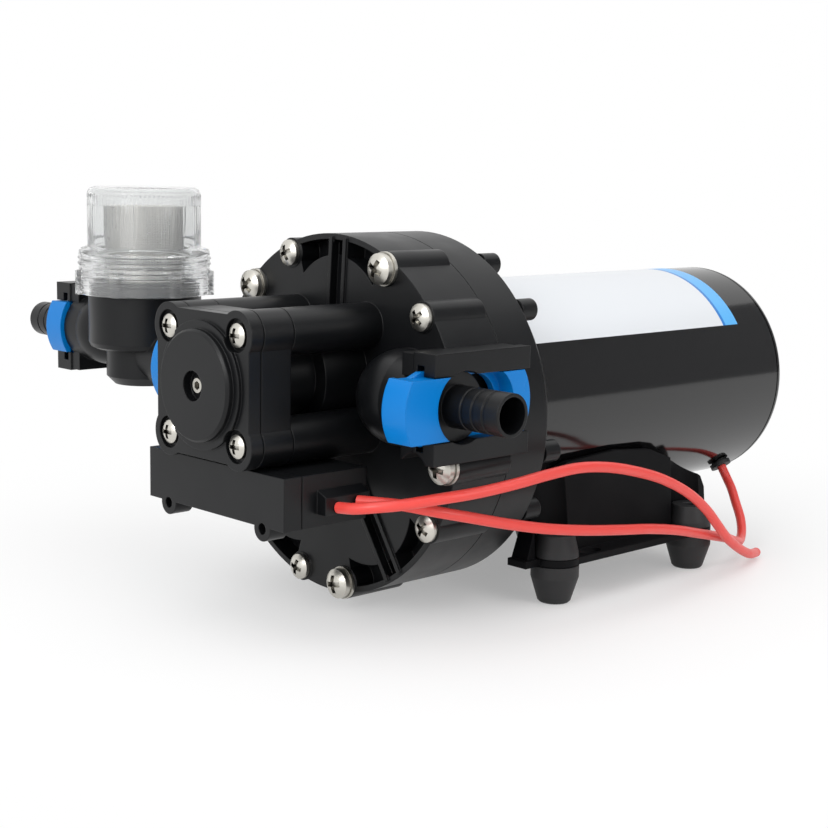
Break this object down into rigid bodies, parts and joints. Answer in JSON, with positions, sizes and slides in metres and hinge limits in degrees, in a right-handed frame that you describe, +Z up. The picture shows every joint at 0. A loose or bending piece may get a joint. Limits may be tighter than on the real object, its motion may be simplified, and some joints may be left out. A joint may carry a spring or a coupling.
{
  "type": "caravan water pump",
  "caption": "Electric diaphragm water pump with a wobble-plate head, pressure switch, quick-release hose ports, clear inlet strainer and a motor on a base with rubber feet.",
  "frame": {"origin": "middle of the four mounting holes, on the floor under the feet", "axes": "+X from the pump head to the motor end along the pump axis, +Y to the inlet and strainer side, +Z up"},
  "size_m": [0.2609, 0.2616, 0.1385],
  "materials": {
    "black_nylon": "moulded glass-filled nylon, satin",
    "black_enamel": "gloss black enamel on drawn steel",
    "label_film": "plain white film label with a blue end band",
    "zinc_steel": "bright zinc plated steel",
    "black_rubber": "moulded rubber, matte",
    "blue_acetal": "moulded acetal, satin",
    "clear_plastic": "clear moulded polycarbonate",
    "steel_mesh": "woven stainless mesh",
    "white_nylon": "natural nylon",
    "ferrite": "ferrite magnet and laminated iron",
    "copper": "copper",
    "red_pvc": "red insulated lead"
  },
  "bodies": {
    "pump": {"front_housing": "black_nylon", "rear_housing": "black_nylon", "valve_plate": "white_nylon", "inlet_valves": "black_rubber", "outlet_valve": "black_rubber", "plate_seal": "black_rubber", "diaphragm": "black_rubber", "housing_screws": "zinc_steel", "long_screws": "zinc_steel", "screw_washers": "zinc_steel", "motor_can": "black_enamel", "rear_cap": "black_enamel", "through_bolts": "zinc_steel", "field_magnets": "ferrite", "front_bearing": "zinc_steel", "rear_bearing": "zinc_steel", "brush_holder": "white_nylon", "brushes": "ferrite", "motor_label": "label_film", "lead_grommet": "black_rubber", "switch_body": "black_nylon", "switch_cover": "black_nylon", "switch_screws": "zinc_steel", "switch_diaphragm": "black_rubber", "pressure_spring": "zinc_steel", "switch_box": "black_nylon", "box_cover": "black_nylon", "micro_switch": "black_nylon", "base_plate": "black_nylon", "saddle_screws": "zinc_steel", "feet_front": "black_rubber", "feet_rear": "black_rubber", "motor_lead": "red_pvc", "supply_lead": "red_pvc"},
    "rotor": {"motor_shaft": "zinc_steel", "eccentric": "zinc_steel", "cam_bearing": "zinc_steel", "armature_core": "ferrite", "armature_windings": "copper", "commutator": "copper"},
    "wobble": {"wobble_plate": "black_nylon", "pistons": "white_nylon", "piston_screws": "zinc_steel"},
    "plunger": {"switch_plunger": "white_nylon"},
    "button": {"micro_button": "blue_acetal"},
    "seat": {"spring_seat": "zinc_steel"},
    "adjuster": {"adjust_screw": "zinc_steel"},
    "outlet_slider": {"outlet_clip": "blue_acetal"},
    "inlet_slider": {"inlet_clip": "blue_acetal"},
    "outlet_spout": {"outlet_barb": "black_nylon", "outlet_seals": "black_rubber"},
    "strainer": {"strainer_body": "black_nylon", "strainer_seals": "black_rubber", "strainer_screen": "steel_mesh"},
    "strainer_slider": {"strainer_clip": "blue_acetal"},
    "inlet_spout": {"inlet_barb": "black_nylon", "inlet_seals": "black_rubber"},
    "bowl_lift": {"bowl_seal": "black_rubber"},
    "bowl": {"strainer_bowl": "clear_plastic"}
  },
  "joints": [
    {"name": "rotor_spin", "type": "hinge", "parent": "pump", "child": "rotor", "pos_m": [-0.1025, 0, 0.066], "axis": [1, 0, 0], "continuous": true},
    {"name": "wobble_hold", "type": "hinge", "parent": "rotor", "child": "wobble", "pos_m": [-0.07026, 0, 0.066], "axis": [0.999, 0, -0.0436], "continuous": true, "deforming": ["diaphragm"]},
    {"name": "plunger_slide", "type": "slide", "parent": "pump", "child": "plunger", "axis": [-1, 0, 0], "range_m": [0, 0.0012], "stiffness_N_per_m": 3000, "springref_m": -0.004, "deforming": ["pressure_spring"]},
    {"name": "button_slide", "type": "slide", "parent": "pump", "child": "button", "axis": [-1, 0, 0], "range_m": [0, 0.0009]},
    {"name": "seat_slide", "type": "slide", "parent": "pump", "child": "seat", "axis": [1, 0, 0], "range_m": [-0.0015, 0.0015]},
    {"name": "adjuster_turn", "type": "hinge", "parent": "seat", "child": "adjuster", "pos_m": [-0.1545, 0, 0.0802], "axis": [1, 0, 0], "range_deg": [-675.5, 675.5]},
    {"name": "outlet_clip_slide", "type": "slide", "parent": "pump", "child": "outlet_slider", "axis": [-1, 0, 0], "range_m": [0, 0.01]},
    {"name": "inlet_clip_slide", "type": "slide", "parent": "pump", "child": "inlet_slider", "axis": [-1, 0, 0], "range_m": [0, 0.01]},
    {"name": "outlet_barb_turn", "type": "hinge", "parent": "pump", "child": "outlet_spout", "pos_m": [-0.1045, -0.0602, 0.0765], "axis": [0, 1, 0], "continuous": true},
    {"name": "strainer_swivel", "type": "hinge", "parent": "pump", "child": "strainer", "pos_m": [-0.1045, 0.0602, 0.0765], "axis": [0, 1, 0], "range_deg": [-90, 90]},
    {"name": "strainer_clip_slide", "type": "slide", "parent": "strainer", "child": "strainer_slider", "axis": [-1, 0, 0], "range_m": [0, 0.01]},
    {"name": "inlet_barb_turn", "type": "hinge", "parent": "strainer", "child": "inlet_spout", "pos_m": [-0.1045, 0.147, 0.0833], "axis": [0, 1, 0], "continuous": true},
    {"name": "bowl_rise", "type": "slide", "parent": "strainer", "child": "bowl_lift", "axis": [0, 0, 1], "range_m": [0, 0.0045]},
    {"name": "bowl_turn", "type": "hinge", "parent": "bowl_lift", "child": "bowl", "pos_m": [-0.1045, 0.105, 0.106], "axis": [0, 0, 1], "range_deg": [0, 539]}
  ],
  "couplings": [
    {"joint": "wobble_hold", "follows": "rotor_spin", "ratio": -1},
    {"joint": "button_slide", "follows": "plunger_slide", "ratio": 0.75},
    {"joint": "adjuster_turn", "follows": "seat_slide", "rad_per_m": 7854},
    {"joint": "bowl_rise", "follows": "bowl_turn", "m_per_rad": 0.00047746}
  ]
}
